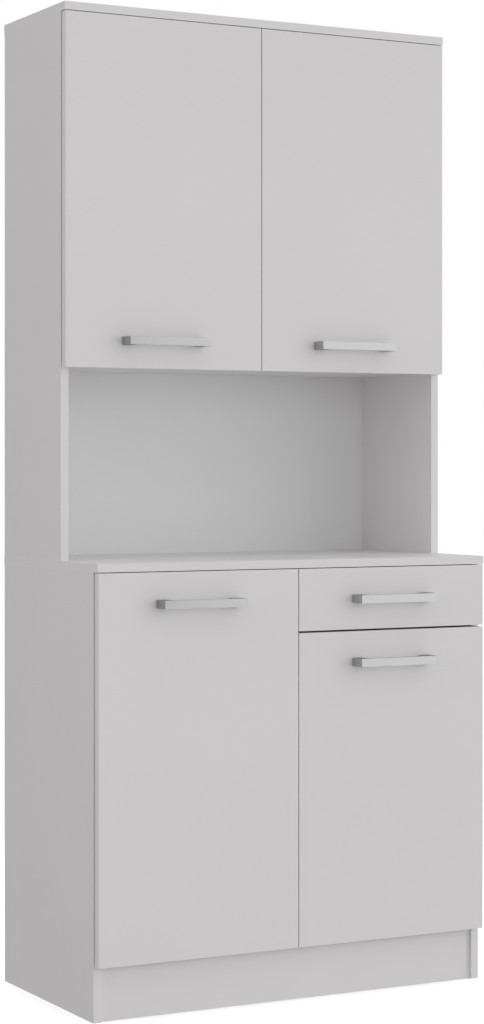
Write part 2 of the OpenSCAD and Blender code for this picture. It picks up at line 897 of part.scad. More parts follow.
module plate_screws() {
  color(steel) at_all_hinges() plate_screw_pair(0);
}

module hinge_arms() {
  color(steel) at_all_hinges() arm();
}

module hinge_pins() {
  color(steel) at_all_hinges() hinge_pin();
}

module door_bumpers() {
  color(clear_rubber) {
    for (s = [-1, 1])
      rod_y([s * bumper_in / 2, upper_y - bumper_t, upper_bottom_z + board_t / 2], bumper_d, bumper_t);
    x = centre_gap / 2 + bumper_d / 2;
    for (z = [lower_door_z + bumper_in, left_door_top - bumper_in])
      rod_y([-x, lower_y - bumper_t, z], bumper_d, bumper_t);
    for (z = [lower_door_z + bumper_in, right_door_top - bumper_in])
      rod_y([x, lower_y - bumper_t, z], bumper_d, bumper_t);
  }
}

module left_rail() {
  color(white_steel) rail_at_left() rail();
}

module right_rail() {
  color(white_steel) rail_at_right() rail();
}

module rail_screws() {
  color(steel) {
    rail_at_left() rail_screw_pair(0);
    rail_at_right() rail_screw_pair(0);
  }
}

module wall_brackets() {
  color(steel) difference() {
    for (s = [-1, 1]) translate([s * bracket_x, 0, 0]) {
      block([-bracket_w / 2, bracket_w / 2], [back_y - bracket_l, back_y], [top_z - bracket_t, top_z]);
      block([-bracket_w / 2, bracket_w / 2], [back_y - bracket_t, back_y], [top_z - bracket_l, top_z]);
    }
    wall_holes();
    bracket_screw_set(tight);
  }
}

module bracket_screws() {
  color(steel) bracket_screw_set(0);
}

module front_rollers() {
  color(nylon) {
    rail_at_left() roller(rail_t + air, front_roller_y, rail_z);
    rail_at_right() roller(rail_t + air, front_roller_y, rail_z);
  }
}

module rear_rollers() {
  x = runner_space - rail_t - air - roller_w;
  color(nylon) {
    rail_at_left() roller(x, rear_roller_y, rear_roller_z);
    rail_at_right() roller(x, rear_roller_y, rear_roller_z);
  }
}

module drawer_front() {
  color(melamine) difference() {
    front_board(1, wall_y - lower_d, [drawer_z, left_door_top]);
    at_drawer_handle() handle_holes();
    box_dowel_set(tight);
    bottom_slot();
  }
}

module drawer_side(x) {
  color(melamine) difference() {
    block([x, x + box_t], box_y, box_z);
    bottom_slot();
    box_dowel_set(tight);
    box_screw_set(tight);
    rail_at_left() runner_screw_pair(tight);
    rail_at_right() runner_screw_pair(tight);
  }
}

module drawer_left_side() {
  drawer_side(box_x[0]);
}

module drawer_right_side() {
  drawer_side(box_x[1] - box_t);
}

module drawer_back() {
  color(melamine) difference() {
    block([box_x[0] + box_t, box_x[1] - box_t], [box_y[1] - box_t, box_y[1]],
          [bottom_z + bottom_t + bottom_play / 2, box_z[1]]);
    box_screw_set(tight);
  }
}

module drawer_bottom() {
  color(hardboard)
    block([box_x[0] + box_t - groove + bottom_play, box_x[1] - box_t + groove - bottom_play],
          [box_y[0] - groove + bottom_play, box_y[1]], [bottom_z, bottom_z + bottom_t]);
}

module left_runner() {
  color(white_steel) rail_at_left() runner();
}

module right_runner() {
  color(white_steel) rail_at_right() runner();
}

module runner_screws() {
  color(steel) {
    rail_at_left() runner_screw_pair(0);
    rail_at_right() runner_screw_pair(0);
  }
}

module box_screws() {
  color(steel) box_screw_set(0);
}

module box_dowels() {
  color(raw_wood) box_dowel_set(0);
}

module drawer_handle() {
  color(chrome) at_drawer_handle() handle();
}

module drawer_handle_screws() {
  color(steel) at_drawer_handle() handle_screw_pair();
}

module upper_door(side) {
  color(melamine) difference() {
    front_board(side, wall_y - upper_d, [upper_door_z, upper_door_top]);
    at_upper_handle(side) handle_holes();
    at_left_hinges(upper_y, upper_hinge_z) cup_holes();
    at_right_hinges(upper_y, upper_hinge_z) cup_holes();
  }
}

module lower_door(side, top, hinge_z) {
  color(melamine) difference() {
    front_board(side, wall_y - lower_d, [lower_door_z, top]);
    at_lower_handle(side, top) handle_holes();
    at_left_hinges(lower_y, hinge_z) cup_holes();
    at_right_hinges(lower_y, hinge_z) cup_holes();
  }
}

module upper_left_door() {
  upper_door(-1);
}

module upper_left_cups() {
  color(steel) at_left_hinges(upper_y, upper_hinge_z) cup();
}

module upper_left_handle() {
  color(chrome) at_upper_handle(-1) handle();
}

module upper_left_handle_screws() {
  color(steel) at_upper_handle(-1) handle_screw_pair();
}

module upper_right_door() {
  upper_door(1);
}

module upper_right_cups() {
  color(steel) at_right_hinges(upper_y, upper_hinge_z) cup();
}

module upper_right_handle() {
  color(chrome) at_upper_handle(1) handle();
}

module upper_right_handle_screws() {
  color(steel) at_upper_handle(1) handle_screw_pair();
}

module lower_left_door() {
  lower_door(-1, left_door_top, left_hinge_z);
}

module lower_left_cups() {
  color(steel) at_left_hinges(lower_y, left_hinge_z) cup();
}

module lower_left_handle() {
  color(chrome) at_lower_handle(-1, left_door_top) handle();
}

module lower_left_handle_screws() {
  color(steel) at_lower_handle(-1, left_door_top) handle_screw_pair();
}

module lower_right_door() {
  lower_door(1, right_door_top, right_hinge_z);
}

module lower_right_cups() {
  color(steel) at_right_hinges(lower_y, right_hinge_z) cup();
}

module lower_right_handle() {
  color(chrome) at_lower_handle(1, right_door_top) handle();
}

module lower_right_handle_screws() {
  color(steel) at_lower_handle(1, right_door_top) handle_screw_pair();
}

lower_left_side();
lower_right_side();
lower_bottom();
lower_divider();
plinth();
worktop();
lower_back();
lower_left_shelf();
lower_right_shelf();
upper_left_side();
upper_right_side();
upper_bottom();
top_panel();
upper_back();
upper_shelf();
cam_locks();
cam_bolts();
dowels();
back_nails();
shelf_pins();
hinge_plates();
plate_screws();
hinge_arms();
hinge_pins();
door_bumpers();
left_rail();
right_rail();
rail_screws();
wall_brackets();
bracket_screws();
front_rollers();
rear_rollers();
drawer_front();
drawer_left_side();
drawer_right_side();
drawer_back();
drawer_bottom();
left_runner();
right_runner();
runner_screws();
box_screws();
box_dowels();
drawer_handle();
drawer_handle_screws();
upper_left_door();
upper_left_cups();
upper_left_handle();
upper_left_handle_screws();
upper_right_door();
upper_right_cups();
upper_right_handle();
upper_right_handle_screws();
lower_left_door();
lower_left_cups();
lower_left_handle();
lower_left_handle_screws();
lower_right_door();
lower_right_cups();
lower_right_handle();
lower_right_handle_screws();
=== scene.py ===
import bpy
import json
import math
import numpy as np
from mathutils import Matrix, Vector


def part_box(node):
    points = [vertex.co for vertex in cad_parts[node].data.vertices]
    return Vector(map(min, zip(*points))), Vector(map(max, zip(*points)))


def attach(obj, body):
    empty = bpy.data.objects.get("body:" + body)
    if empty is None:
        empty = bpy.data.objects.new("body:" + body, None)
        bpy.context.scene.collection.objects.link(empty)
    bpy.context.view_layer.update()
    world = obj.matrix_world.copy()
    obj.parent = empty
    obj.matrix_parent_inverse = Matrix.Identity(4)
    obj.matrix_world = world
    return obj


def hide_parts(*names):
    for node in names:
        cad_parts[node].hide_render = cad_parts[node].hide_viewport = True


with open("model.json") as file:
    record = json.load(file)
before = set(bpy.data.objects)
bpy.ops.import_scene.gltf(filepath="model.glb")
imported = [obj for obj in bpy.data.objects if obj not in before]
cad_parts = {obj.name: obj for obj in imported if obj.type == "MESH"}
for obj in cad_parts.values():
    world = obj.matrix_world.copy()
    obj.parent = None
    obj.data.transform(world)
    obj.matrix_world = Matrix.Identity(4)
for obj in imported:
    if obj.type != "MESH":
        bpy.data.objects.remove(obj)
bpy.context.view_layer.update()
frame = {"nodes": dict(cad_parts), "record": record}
nodes = frame["nodes"]
bodies = frame["record"]["behaviour"]["bodies"]
bodyOf = {node: body for body, members in bodies.items() for node in members}
slotOf = {part["node"]: part["material_slot"] for part in frame["record"]["subparts"]}
scene = bpy.context.scene
mm = 0.001


# Every finish is built with these small helpers, from a shader and the Object coordinates
def newFinish(name):
    finish = bpy.data.materials.new(name)
    finish.use_nodes = True
    tree = finish.node_tree
    tree.nodes.clear()
    output = tree.nodes.new("ShaderNodeOutputMaterial")
    shader = tree.nodes.new("ShaderNodeBsdfPrincipled")
    tree.links.new(shader.outputs["BSDF"], output.inputs["Surface"])
    place = tree.nodes.new("ShaderNodeTexCoord").outputs["Object"]
    return finish, tree, shader, place


def setLook(tree, shader, colour, rough, normal):
    for socket, value in (("Base Color", colour), ("Roughness", rough), ("Normal", normal)):
        tree.links.new(value, shader.inputs[socket])


def addNode(tree, kind, inputs=None, **settings):
    made = tree.nodes.new(kind)
    for key, value in settings.items():
        setattr(made, key, value)
    for key, value in (inputs or {}).items():
        if isinstance(value, bpy.types.NodeSocket):
            tree.links.new(value, made.inputs[key])
        else:
            made.inputs[key].default_value = value
    return made


def maths(tree, operation, *terms):
    return addNode(tree, "ShaderNodeMath", dict(enumerate(terms)), operation=operation).outputs[0]


def noise(tree, place, scale, detail, stretch=(1, 1, 1)):
    mapped = addNode(tree, "ShaderNodeMapping", {"Vector": place, "Scale": stretch}).outputs[0]
    settings = {"Vector": mapped, "Scale": scale, "Detail": detail}
    return addNode(tree, "ShaderNodeTexNoise", settings).outputs[0]


# where noise mostly lies, and the narrower range that cuts it to stronger spots
noiseRange = (0.3, 0.7)
spotRange = (0.35, 0.65)


def spread(tree, value, low, high, fromLow=0.0, fromHigh=1.0):
    # the range fromLow to fromHigh becomes low to high, and what lies outside is cut off
    return addNode(tree, "ShaderNodeMapRange", {
        "Value": value, "From Min": fromLow, "From Max": fromHigh, "To Min": low, "To Max": high}).outputs[0]


def mixture(tree, first, second, share):
    # the second value counts with the share, and the first with the rest
    return maths(tree, "MULTIPLY_ADD", first, 1.0 - share, maths(tree, "MULTIPLY", second, share))


def tinted(tree, colour, factor):
    # the colour times a factor that varies over the surface
    settings = {0: colour, "Scale": factor}
    return addNode(tree, "ShaderNodeVectorMath", settings, operation="SCALE").outputs[0]


def blended(tree, factor, first, second):
    # the first colour where the factor is 0, the second where it is 1
    ends = [(*colour, 1) if isinstance(colour, tuple) else colour for colour in (first, second)]
    return addNode(tree, "ShaderNodeMix", {0: factor, 6: ends[0], 7: ends[1]}, data_type="RGBA").outputs[2]


def bump(tree, height, depth):
    return addNode(tree, "ShaderNodeBump", {"Height": height, "Distance": depth, "Strength": 1.0}).outputs[0]


# Camera. The photo's own perspective: level, a little over the middle of the cabinet's height, and
# from its left, turned to the right. The sensor spans the photo's longer side, its height.
photo = {
    "height": 1024,
    "horizonRow": 464.19,
    "focalPixels": 2440.1,
    "turn": 28.187,
    "place": (-2.1769, -4.0379, 0.9731),
    "sensor": 36.0,
    "farthest": 60.0,
}


def setCamera():
    data = bpy.data.cameras.new("photoCamera")
    data.sensor_width = photo["sensor"]
    data.lens = photo["focalPixels"] / photo["height"] * photo["sensor"]
    data.shift_y = (photo["horizonRow"] - photo["height"] / 2) / photo["height"]
    data.clip_end = photo["farthest"]
    camera = bpy.data.objects.new("photoCamera", data)
    scene.collection.objects.link(camera)
    turn = math.radians(photo["turn"])
    ahead = Vector((math.sin(turn), math.cos(turn), 0))
    camera.location = photo["place"]
    camera.rotation_euler = ahead.to_track_quat("-Z", "Y").to_euler()
    scene.camera = camera


# Studio: a pale floor, a pale surround that is brighter on some sides, and soft boxes
studio = {
    "surround": {"even": 0.098, "front": 0.07, "rear": 0.166, "left": 0.0, "right": 0.769,
                 "above": 0.514, "below": 0.36},
    "backdrop": (1.0, 1.0, 1.0),
    "floorHalf": 30.0,
    "floorTone": (0.92, 0.92, 0.92),
    "floorMottle": (3.0, 3.0),        # scale and detail of the noise
    "floorShade": (0.985, 1.015),
    "floorRough": 0.7,
    "glowFrom": 0.6,                  # distances at which the floor starts to glow and only glows
    "glowTo": 2.2,
    "floorWash": 3.2,
    "washAngle": 85.0,
    "aim": (0.0, 0.0, 0.9),
    # name: place, width and height, strength in watts, whether reflections show it
    "boxes": {
        "keyBox": ((3.4, -4.0, 1.5), (3.8, 3.6), 23.9, True),
        "rightBox": ((4.4, -3.0, 1.0), (2.0, 2.0), 7.0, False),
        "frontBox": ((0.0, -5.5, 1.6), (2.0, 2.0), 23.0, False),
        "lowFrontBox": ((-3.0, -4.4, 1.0), (3.0, 2.8), 10.5, True),
        "lowSideBox": ((-4.8, -1.2, 1.0), (2.0, 2.0), 19.1, False),
        "highSideBox": ((-4.8, -1.5, 2.9), (2.0, 2.0), 14.5, False),
        "rearSideBox": ((-5.0, 0.6, 2.2), (2.0, 2.0), 19.1, False),
    },
}
# each side of the surround: its axis, and the way along it
sides = {"front": (1, -1), "rear": (1, 1), "left": (0, -1), "right": (0, 1),
         "above": (2, 1), "below": (2, -1)}


def setSurround():
    # Radiance in a direction: an even part, and for each side its share times the direction's
    # component towards that side. The camera itself sees a plain white backdrop.
    world = bpy.data.worlds.new("surround")
    scene.world = world
    world.use_nodes = True
    tree = world.node_tree
    direction = addNode(tree, "ShaderNodeTexCoord").outputs["Generated"]
    along = addNode(tree, "ShaderNodeSeparateXYZ", {0: direction}).outputs
    total = studio["surround"]["even"]
    for side, (axis, sign) in sides.items():
        facing = maths(tree, "MAXIMUM", maths(tree, "MULTIPLY", along[axis], sign), 0.0)
        total = maths(tree, "MULTIPLY_ADD", facing, studio["surround"][side], total)
    seen = addNode(tree, "ShaderNodeLightPath").outputs["Is Camera Ray"]
    colour = blended(tree, seen, total, studio["backdrop"])
    tree.links.new(colour, tree.nodes["Background"].inputs["Color"])


def setBoxes():
    for name, (place, size, watts, mirrored) in studio["boxes"].items():
        light = bpy.data.lights.new(name, "AREA")
        light.shape = "RECTANGLE"
        light.size, light.size_y = size
        light.energy = watts
        lamp = bpy.data.objects.new(name, light)
        scene.collection.objects.link(lamp)
        lamp.visible_glossy = mirrored
        lamp.location = place
        aim = Vector(studio["aim"]) - Vector(place)
        lamp.rotation_euler = aim.to_track_quat("-Z", "Y").to_euler()


def floorFinish():
    # a pale sheet that turns into the glowing white of the backdrop at a distance
    finish, tree, shader, place = newFinish("paleFloor")
    shade = spread(tree, noise(tree, place, *studio["floorMottle"]), *studio["floorShade"])
    tree.links.new(tinted(tree, studio["floorTone"], shade), shader.inputs["Base Color"])
    shader.inputs["Roughness"].default_value = studio["floorRough"]
    away = addNode(tree, "ShaderNodeVectorMath", {0: place}, operation="LENGTH").outputs["Value"]
    ends = {"Value": away, "From Min": studio["glowFrom"], "From Max": studio["glowTo"]}
    glow = addNode(tree, "ShaderNodeMapRange", ends, interpolation_type="SMOOTHSTEP").outputs[0]
    lamp = addNode(tree, "ShaderNodeEmission", {"Color": (*studio["backdrop"], 1)}).outputs[0]
    both = addNode(tree, "ShaderNodeMixShader", {0: glow, 1: shader.outputs[0], 2: lamp})
    output = next(node for node in tree.nodes if node.type == "OUTPUT_MATERIAL")
    tree.links.new(both.outputs[0], output.inputs["Surface"])
    return finish


def setFloor():
    half = studio["floorHalf"]
    corners = [(-half, -half, 0), (half, -half, 0), (half, half, 0), (-half, half, 0)]
    mesh = bpy.data.meshes.new("floor")
    mesh.from_pydata(corners, [], [(0, 1, 2, 3)])
    floor = bpy.data.objects.new("floor", mesh)
    scene.collection.objects.link(floor)
    floor.data.materials.append(floorFinish())
    floor.visible_diffuse = False
    floor.visible_glossy = False
    # a wide soft sun that only the floor receives keeps it pale without lighting the cabinet
    washData = bpy.data.lights.new("floorWash", "SUN")
    washData.energy = studio["floorWash"]
    washData.angle = math.radians(studio["washAngle"])
    wash = bpy.data.objects.new("floorWash", washData)
    scene.collection.objects.link(wash)
    lit = bpy.data.collections.new("floorOnly")
    lit.objects.link(floor)
    wash.light_linking.receiver_collection = lit


# White melamine board: printed paper under a hard clear resin, pressed with a fine pearl texture,
# with glued edge bands that are a little glossier and arrises that have been eased
melamine = {
    "tone": (0.86, 0.838, 0.845),
    "wave": (4.0, 3.0),               # scale and detail of the noise, as in the lines like it below
    "waveTone": (-0.010, 0.010),      # slow changes of tone over the sheet
    "smudge": (9.0, 5.0),
    "rough": (0.40, 0.52),
    "specular": 0.4,
    "pearl": (700.0, 1.0),
    "pearlDepth": 0.03 * mm,
    "bandWidth": 0.6 * mm,
    "bandCore": 0.8,                  # the share of the band's width before it fades into the sheet
    "bandTone": 0.012,                # how much lighter the bands are
    "bandSmooth": 0.8,                # the share of the pearl texture that they lack
    "glueWidth": 0.12 * mm,
    "glueTone": -0.10,
    "easedWidth": 1.4 * mm,
    "eased": (60.0, 3.0),
    "arrisHighlightTone": (0.0, 0.05),         # painted highlight: how much lighter an eased arris is, in patches that also stand for wear
    "easedRange": (0.35, 0.7),
    "edgeGloss": 0.10,                # how much less rough bands and eased arrises are
    "frontArris": 0.7 * mm,           # radius on doors, drawer front, worktop and top panel
    "carcassArris": 0.3 * mm,
}


def boardDistances():
    # Group: from a point on a board it gives how far the nearest arris and the board's outline are.
    # Each component of (half size - |place - centre|) is a distance to a pair of faces. Their median
    # is the distance to the arris, and the smaller of the two in the sheet's plane is the one to the
    # outline.
    group = bpy.data.node_groups.new("boardDistances", "ShaderNodeTree")
    for name in ("Centre", "Half Size", "Across"):
        group.interface.new_socket(name=name, in_out="INPUT", socket_type="NodeSocketVector")
    for name in ("Arris", "Outline"):
        group.interface.new_socket(name=name, in_out="OUTPUT", socket_type="NodeSocketFloat")
    given = addNode(group, "NodeGroupInput").outputs
    result = addNode(group, "NodeGroupOutput").inputs

    def vector(operation, *terms):
        settings = dict(enumerate(terms))
        return addNode(group, "ShaderNodeVectorMath", settings, operation=operation).outputs[0]

    def parts(whole):
        return addNode(group, "ShaderNodeSeparateXYZ", {0: whole}).outputs

    place = addNode(group, "ShaderNodeTexCoord").outputs["Object"]
    offset = vector("ABSOLUTE", vector("SUBTRACT", place, given["Centre"]))
    left = vector("SUBTRACT", given["Half Size"], offset)
    x, y, z = parts(left)
    low, high = maths(group, "MINIMUM", x, y), maths(group, "MAXIMUM", x, y)
    median = maths(group, "MAXIMUM", low, maths(group, "MINIMUM", high, z))
    # the direction across the sheet is taken out by adding a metre to it
    x, y, z = parts(vector("ADD", left, given["Across"]))
    outline = maths(group, "MINIMUM", maths(group, "MINIMUM", x, y), z)
    group.links.new(median, result["Arris"])
    group.links.new(outline, result["Outline"])
    return group


def boardFinish(name, group, low, high):
    finish, tree, shader, place = newFinish(name)
    size = high - low
    distances = addNode(tree, "ShaderNodeGroup", node_tree=group)
    distances.inputs["Centre"].default_value = (low + high) / 2
    distances.inputs["Half Size"].default_value = size / 2
    distances.inputs["Across"].default_value = [1.0 if side == min(size) else 0.0 for side in size]
    arris, outline = distances.outputs["Arris"], distances.outputs["Outline"]
    width = melamine["bandWidth"]
    band = spread(tree, outline, 1.0, 0.0, melamine["bandCore"] * width, width)
    eased = spread(tree, arris, 1.0, 0.0, 0.0, melamine["easedWidth"])
    # tone: slow waves over the sheet, a painted highlight on the arrises in patches that also stand for
    # wear, lighter bands, and the dark glue line where band and sheet meet, as a peak of the distance to the
    # outline
    wave = spread(tree, noise(tree, place, *melamine["wave"]), *melamine["waveTone"], *noiseRange)
    # painted highlight along the eased arrises, lighter in patches that also stand for wear
    patches = noise(tree, place, *melamine["eased"])
    highlightAndWear = maths(tree, "MULTIPLY", eased,
                 spread(tree, patches, *melamine["arrisHighlightTone"], *melamine["easedRange"]))
    away = maths(tree, "ABSOLUTE", maths(tree, "SUBTRACT", outline, width))
    glue = spread(tree, away, melamine["glueTone"], 0.0, 0.0, melamine["glueWidth"])
    edges = maths(tree, "MULTIPLY_ADD", band, melamine["bandTone"], glue)
    factor = maths(tree, "ADD", maths(tree, "ADD", maths(tree, "ADD", wave, highlightAndWear), edges), 1.0)
    # gloss: smudges on the sheet, less rough bands and arrises
    smudge = spread(tree, noise(tree, place, *melamine["smudge"]), *melamine["rough"], *noiseRange)
    glossy = maths(tree, "MULTIPLY", maths(tree, "MAXIMUM", band, eased), melamine["edgeGloss"])
    # texture: the pearl, which the bands have less of
    smooth = maths(tree, "SUBTRACT", 1.0, maths(tree, "MULTIPLY", band, melamine["bandSmooth"]))
    pearl = maths(tree, "MULTIPLY", noise(tree, place, *melamine["pearl"]), smooth)
    setLook(tree, shader, tinted(tree, melamine["tone"], factor), maths(tree, "SUBTRACT", smudge, glossy),
            bump(tree, pearl, melamine["pearlDepth"]))
    shader.inputs["Specular IOR Level"].default_value = melamine["specular"]
    return finish


# Thin hardboard: white lacquer on the face that shows inside, raw brown fibre behind
hardboard = {
    "lacquer": (0.885, 0.888, 0.892),
    "lacquerMottle": (6.0, 3.0),
    "lacquerShade": (0.99, 1.01),
    "lacquerRough": 0.46,
    "lacquerRelief": 0.15,            # the share of the fibres' relief that shows through it
    "lacquerFrom": (0.5 * mm, 0.6 * mm),   # off the raw face: where it starts and where it is full
    "fibre": (0.47, 0.32, 0.19),
    "fibreDark": (0.35, 0.23, 0.13),
    "fibreRough": 0.78,
    "fibreRelief": 0.08 * mm,
    "fibres": (420.0, 4.0, (1.0, 1.0, 0.45)),   # scale, detail and stretch of the noise
    "clouds": (11.0, 4.0),
    "cloudShare": 0.4,
}


def hardboardFinish(name, rawAxis, rawPlace):
    # the raw face is the one at rawPlace along rawAxis
    finish, tree, shader, place = newFinish(name)
    along = addNode(tree, "ShaderNodeSeparateXYZ", {0: place}).outputs[rawAxis]
    away = maths(tree, "ABSOLUTE", maths(tree, "SUBTRACT", along, rawPlace))
    lacquered = spread(tree, away, 0.0, 1.0, *hardboard["lacquerFrom"])
    fibres = noise(tree, place, *hardboard["fibres"])
    clouds = noise(tree, place, *hardboard["clouds"])
    spots = spread(tree, mixture(tree, fibres, clouds, hardboard["cloudShare"]), 0.0, 1.0, *spotRange)
    raw = blended(tree, spots, hardboard["fibreDark"], hardboard["fibre"])
    mottle = noise(tree, place, *hardboard["lacquerMottle"])
    paint = tinted(tree, hardboard["lacquer"], spread(tree, mottle, *hardboard["lacquerShade"], *noiseRange))
    rough = spread(tree, lacquered, hardboard["fibreRough"], hardboard["lacquerRough"])
    relief = maths(tree, "MULTIPLY", fibres, spread(tree, lacquered, 1.0, hardboard["lacquerRelief"]))
    setLook(tree, shader, blended(tree, lacquered, raw, paint), rough,
            bump(tree, relief, hardboard["fibreRelief"]))
    return finish


# Metals: satin plate on the handles, bright nickel on hinges and screws, dull zinc on the cams.
# The lines are noise too, with a stretch below 1 along them. Tarnish is how much the clouds darken
# the metal, and atEdge is the share of a clean metal's mirroring that is left at a grazing angle.
metals = {
    "clouds": (45.0, 4.0),
    "lineShare": 0.5,                 # of lines against clouds, in the roughness
    "swing": 2.0,                     # how much further the roughness swings than the tone
    "satinPlate": {"tone": (0.55, 0.559, 0.556), "rough": 0.22, "lines": (900.0, 3.0, (0.02, 1.0, 1.0)),
                   "depth": 0.0004 * mm, "tarnish": 0.02, "atEdge": 0.4},
    "brightNickel": {"tone": (0.68, 0.68, 0.68), "rough": 0.24, "lines": (500.0, 3.0),
                     "depth": 0.003 * mm, "tarnish": 0.06, "atEdge": 1.0},
    "dullZinc": {"tone": (0.55, 0.56, 0.58), "rough": 0.42, "lines": (800.0, 3.0),
                 "depth": 0.02 * mm, "tarnish": 0.2, "atEdge": 1.0},
}


def metalFinish(name):
    metal = metals[name]
    finish, tree, shader, place = newFinish(name)
    lines = noise(tree, place, *metal["lines"])
    clouds = noise(tree, place, *metals["clouds"])
    both = mixture(tree, clouds, lines, metals["lineShare"])
    darker = spread(tree, clouds, 1.0 - metal["tarnish"], 1.0, *noiseRange)
    swing = 1.0 + metals["swing"] * metal["tarnish"]
    rough = spread(tree, both, metal["rough"] / swing, metal["rough"] * swing, *spotRange)
    setLook(tree, shader, tinted(tree, metal["tone"], darker), rough, bump(tree, lines, metal["depth"]))
    shader.inputs["Metallic"].default_value = 1.0
    edge = metal["atEdge"]
    shader.inputs["Specular Tint"].default_value = (edge, edge, edge, 1)
    return finish


# Coated and moulded small parts: the mottle varies tone and gloss, the skin is the fine relief
mouldings = {
    "whiteEpoxy": {"tone": (0.84, 0.84, 0.83), "shade": (0.97, 1.0), "rough": (0.30, 0.42),
                   "mottle": (40.0, 3.0), "skin": (900.0, 1.0), "depth": 0.02 * mm},
    "nylon": {"tone": (0.86, 0.855, 0.83), "shade": (0.96, 1.0), "rough": (0.42, 0.58),
              "mottle": (120.0, 3.0), "skin": (1500.0, 1.0), "depth": 0.01 * mm,
              "Subsurface Weight": 0.15, "Subsurface Radius": (1 * mm, 1 * mm, 1 * mm)},
    "clearRubber": {"tone": (0.82, 0.82, 0.80), "shade": (0.94, 1.0), "rough": (0.25, 0.40),
                    "mottle": (300.0, 2.0), "skin": (300.0, 2.0), "depth": 0.02 * mm,
                    "Transmission Weight": 0.35},
}


def mouldedFinish(name):
    look = mouldings[name]
    finish, tree, shader, place = newFinish(name)
    mottle = noise(tree, place, *look["mottle"])
    skin = noise(tree, place, *look["skin"])
    setLook(tree, shader, tinted(tree, look["tone"], spread(tree, mottle, *look["shade"], *noiseRange)),
            spread(tree, mottle, *look["rough"], *noiseRange), bump(tree, skin, look["depth"]))
    for socket in ("Subsurface Weight", "Subsurface Radius", "Transmission Weight"):
        if socket in look:
            shader.inputs[socket].default_value = look[socket]
    return finish


# Beech dowels. The grain runs along x on all of them, also on those that stand or point rearward.
beech = {
    "tones": ((0.56, 0.38, 0.22), (0.76, 0.60, 0.41)),
    "grain": (260.0, 5.0, (0.15, 1.0, 1.0)),
    "flecks": (900.0, 2.0, (0.3, 1.0, 1.0)),
    "grainShare": 0.6,
    "rough": (0.55, 0.7),
    "depth": 0.05 * mm,
}


def beechFinish():
    finish, tree, shader, place = newFinish("beech")
    grain = noise(tree, place, *beech["grain"])
    flecks = noise(tree, place, *beech["flecks"])
    both = mixture(tree, flecks, grain, beech["grainShare"])
    setLook(tree, shader, blended(tree, spread(tree, both, 0.0, 1.0, *spotRange), *beech["tones"]),
            spread(tree, both, *beech["rough"]), bump(tree, both, beech["depth"]))
    return finish


# Eased edges on the CAD pieces: doubles welded, flat faces joined, arrises rounded
easing = {
    "weld": 0.002 * mm,
    "flatAngle": 0.5,
    "segments": 2,
    "angle": 35.0,
}


def roundEdges(piece, radius, segments, angle):
    bevel = piece.modifiers.new("easedEdges", "BEVEL")
    bevel.width = radius
    bevel.segments = segments
    bevel.limit_method = "ANGLE"
    bevel.angle_limit = math.radians(angle)
    piece.modifiers.new("cleanShading", "WEIGHTED_NORMAL")


def dress(node, finish, radius=0.0):
    made = nodes[node]
    made.data.materials.clear()
    made.data.materials.append(finish)
    if radius:
        weld = made.modifiers.new("weld", "WELD")
        weld.merge_threshold = easing["weld"]
        flat = made.modifiers.new("joinFlats", "DECIMATE")
        flat.decimate_type = "DISSOLVE"
        flat.angle_limit = math.radians(easing["flatAngle"])
        roundEdges(made, radius, easing["segments"], easing["angle"])


def dressBoards():
    group = boardDistances()
    boards = [name for name in nodes if slotOf[name] == "white_board"]
    for name in boards:
        shown = name.endswith(("_door", "_front")) or name in ("worktop", "top_panel")
        arris = melamine["frontArris"] if shown else melamine["carcassArris"]
        dress(name, boardFinish(name + "Board", group, *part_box(name)), arris)
    print("boards: %d" % len(boards))


def dressHardboard():
    # the two backs are raw on their rear face, and the drawer's bottom on its lower one
    for name in ("lower_back", "upper_back"):
        dress(name, hardboardFinish(name + "Hardboard", 1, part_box(name)[1].y))
    dress("drawer_bottom", hardboardFinish("drawerBottomHardboard", 2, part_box("drawer_bottom")[0].z))
    print("hardboard: 3")


# Small CAD parts that keep their shape: how much their edges are rounded, in millimetres
rounding = {
    "cam_locks": 0.3, "cam_bolts": 0.2, "back_nails": 0.12, "shelf_pins": 0.7, "door_bumpers": 0.7,
    "hinge_plates": 0.3, "hinge_arms": 0.5, "wall_brackets": 0.25,
    "left_rail": 0.25, "right_rail": 0.25, "left_runner": 0.25, "right_runner": 0.25,
    "front_rollers": 0.8, "rear_rollers": 0.8,
}


def dressHardware(nickel):
    slotFinish = {
        "steel": nickel, "zinc": metalFinish("dullZinc"), "white_steel": mouldedFinish("whiteEpoxy"),
        "nylon": mouldedFinish("nylon"), "clear_rubber": mouldedFinish("clearRubber"),
        "raw_wood": beechFinish()}
    hardware = [name for name in nodes if slotOf[name] in slotFinish]
    for name in hardware:
        dress(name, slotFinish[slotOf[name]], rounding.get(name, 0.0) * mm)
    print("hardware: %d nodes" % len(hardware))


def placeMesh(name, points, faces, body, finish):
    mesh = bpy.data.meshes.new(name)
    mesh.from_pydata(points, [], faces)
    mesh.validate()
    mesh.materials.append(finish)
    piece = bpy.data.objects.new(name, mesh)
    scene.collection.objects.link(piece)
    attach(piece, body)
    return piece


# Bar handle: one flat bar with two square legs. Seen from above it is a staple whose outline
# runs round the outside, then back round the gap for the fingers.
handle = {
    "legWidth": 20 * mm,
    "barThickness": 6 * mm,
    "outerRadius": 0.9 * mm,
    "innerRadius": 2.5 * mm,
    "footRadius": 0.3 * mm,
    "arcSteps": 5,
    "edgeRadius": 0.7 * mm,
    "edgeSegments": 3,
    "edgeAngle": 60.0,
}


